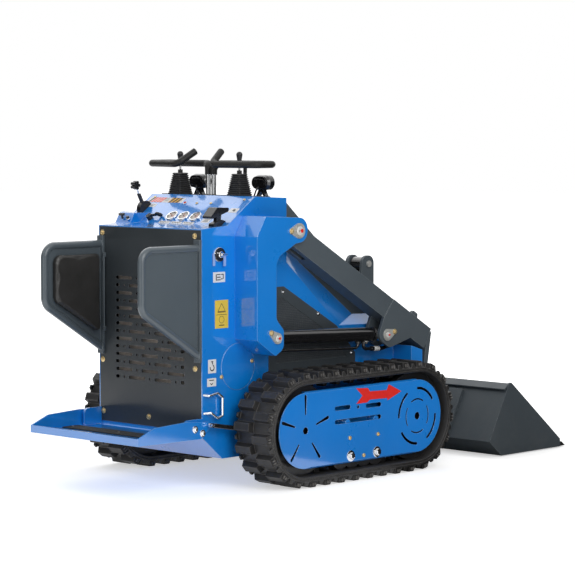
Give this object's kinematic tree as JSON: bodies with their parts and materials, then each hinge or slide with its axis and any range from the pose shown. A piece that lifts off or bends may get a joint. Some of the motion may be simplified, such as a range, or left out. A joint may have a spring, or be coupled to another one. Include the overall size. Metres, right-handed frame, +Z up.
{
  "type": "mini track loader",
  "caption": "Stand-on mini track loader on rubber tracks, with lift arms, tilting bucket and folding operator step.",
  "frame": {"origin": "on the ground, midway along the machine's length and width", "axes": "+X forward towards the bucket, +Y to the machine's left, +Z up"},
  "size_m": [2.188, 0.988, 1.2184],
  "materials": {
    "blue_paint": "gloss powder coat",
    "grey_paint": "satin powder coat",
    "black_paint": "satin",
    "chrome": "polished",
    "zinc": "zinc plated",
    "edge_steel": "painted, scraped at the edge",
    "track_rubber": "moulded",
    "soft_rubber": "matte",
    "pad_vinyl": "smooth black vinyl",
    "engine_cast": "painted",
    "gloss_black": "moulded",
    "gauge": "polished bezel"
  },
  "bodies": {
    "chassis": {"main_frame": "blue_paint", "side_panel_right": "blue_paint", "side_panel_left": "blue_paint", "rear_panel": "grey_paint", "control_console": "blue_paint", "front_hood": "grey_paint", "side_grilles": "black_paint", "loader_tower_right": "blue_paint", "loader_tower_left": "blue_paint", "engine_block": "engine_cast", "handlebars": "soft_rubber", "joysticks": "soft_rubber", "gauges": "gauge", "console_levers": "gloss_black", "work_lights": "gloss_black", "grab_handles": "chrome", "thigh_frame_right": "grey_paint", "thigh_frame_left": "grey_paint", "thigh_pad_right": "pad_vinyl", "thigh_pad_left": "pad_vinyl", "track_belt_right": "track_rubber", "track_belt_left": "track_rubber", "track_frame_right": "blue_paint", "track_frame_left": "blue_paint", "drive_sprockets": "black_paint", "front_idlers": "black_paint", "track_covers": "blue_paint", "tower_pins": "zinc"},
    "arms": {"loader_arms": "grey_paint", "arm_pins": "zinc"},
    "bucket": {"attach_plate": "grey_paint", "bucket": "grey_paint", "cutting_edge": "edge_steel"},
    "platform": {"standing_platform": "blue_paint", "platform_grip_strips": "black_paint"},
    "tilt_barrel": {"tilt_barrel": "black_paint"},
    "tilt_rod": {"tilt_rod": "chrome"},
    "lift_barrel_right": {"lift_barrel_right": "black_paint"},
    "lift_rod_right": {"lift_rod_right": "chrome"},
    "strut_barrel_right": {"strut_barrel_right": "black_paint"},
    "strut_rod_right": {"strut_rod_right": "chrome"},
    "lift_barrel_left": {"lift_barrel_left": "black_paint"},
    "lift_rod_left": {"lift_rod_left": "chrome"},
    "strut_barrel_left": {"strut_barrel_left": "black_paint"},
    "strut_rod_left": {"strut_rod_left": "chrome"}
  },
  "joints": [
    {"name": "arm_lift", "type": "hinge", "parent": "chassis", "child": "arms", "pos_m": [-0.39, 0, 0.922], "axis": [0, -1, 0], "range_deg": [0, 70]},
    {"name": "bucket_tilt", "type": "hinge", "parent": "arms", "child": "bucket", "pos_m": [0.499, 0, 0.13], "axis": [0, -1, 0], "range_deg": [-90, 15]},
    {"name": "platform_fold", "type": "hinge", "parent": "chassis", "child": "platform", "pos_m": [-0.82, 0, 0.229], "axis": [0, 1, 0], "range_deg": [0, 85]},
    {"name": "lift_barrel_right_turn", "type": "hinge", "parent": "chassis", "child": "lift_barrel_right", "pos_m": [-0.504, -0.3275, 0.538], "axis": [0, -1, 0], "range_deg": [0, 50.3]},
    {"name": "lift_rod_right_slide", "type": "slide", "parent": "lift_barrel_right", "child": "lift_rod_right", "axis": [0.999, 0, -0.0436], "range_m": [0, 0.388]},
    {"name": "lift_barrel_left_turn", "type": "hinge", "parent": "chassis", "child": "lift_barrel_left", "pos_m": [-0.504, 0.3275, 0.538], "axis": [0, -1, 0], "range_deg": [0, 50.3]},
    {"name": "lift_rod_left_slide", "type": "slide", "parent": "lift_barrel_left", "child": "lift_rod_left", "axis": [0.999, 0, -0.0436], "range_m": [0, 0.388]},
    {"name": "tilt_barrel_turn", "type": "hinge", "parent": "arms", "child": "tilt_barrel", "pos_m": [0.369, 0, 0.75686], "axis": [0, -1, 0], "range_deg": [-1.5, 0.3]},
    {"name": "tilt_rod_slide", "type": "slide", "parent": "tilt_barrel", "child": "tilt_rod", "axis": [0.3828, 0, -0.9238], "range_m": [-0.036, 0.213]},
    {"name": "strut_barrel_right_turn", "type": "hinge", "parent": "chassis", "child": "strut_barrel_right", "pos_m": [-0.561, -0.3, 0.206], "axis": [0, -1, 0], "range_deg": [0, 21.2]},
    {"name": "strut_rod_right_slide", "type": "slide", "parent": "strut_barrel_right", "child": "strut_rod_right", "axis": [-0.9853, 0, 0.1709], "range_m": [0, 0.036]},
    {"name": "strut_barrel_left_turn", "type": "hinge", "parent": "chassis", "child": "strut_barrel_left", "pos_m": [-0.561, 0.3, 0.206], "axis": [0, -1, 0], "range_deg": [0, 21.2]},
    {"name": "strut_rod_left_slide", "type": "slide", "parent": "strut_barrel_left", "child": "strut_rod_left", "axis": [-0.9853, 0, 0.1709], "range_m": [0, 0.036]}
  ],
  "couplings": [
    {"joint": "lift_barrel_right_turn", "follows": "arm_lift", "ratio": 0.7184},
    {"joint": "lift_rod_right_slide", "follows": "arm_lift", "m_per_rad": 0.3166},
    {"joint": "lift_barrel_left_turn", "follows": "arm_lift", "ratio": 0.7184},
    {"joint": "lift_rod_left_slide", "follows": "arm_lift", "m_per_rad": 0.3166},
    {"joint": "tilt_barrel_turn", "follows": "bucket_tilt", "ratio": 0.015},
    {"joint": "tilt_rod_slide", "follows": "bucket_tilt", "m_per_rad": -0.1348},
    {"joint": "strut_barrel_right_turn", "follows": "platform_fold", "ratio": 0.2475},
    {"joint": "strut_rod_right_slide", "follows": "platform_fold", "m_per_rad": 0.0235},
    {"joint": "strut_barrel_left_turn", "follows": "platform_fold", "ratio": 0.2475},
    {"joint": "strut_rod_left_slide", "follows": "platform_fold", "m_per_rad": 0.0235}
  ]
}
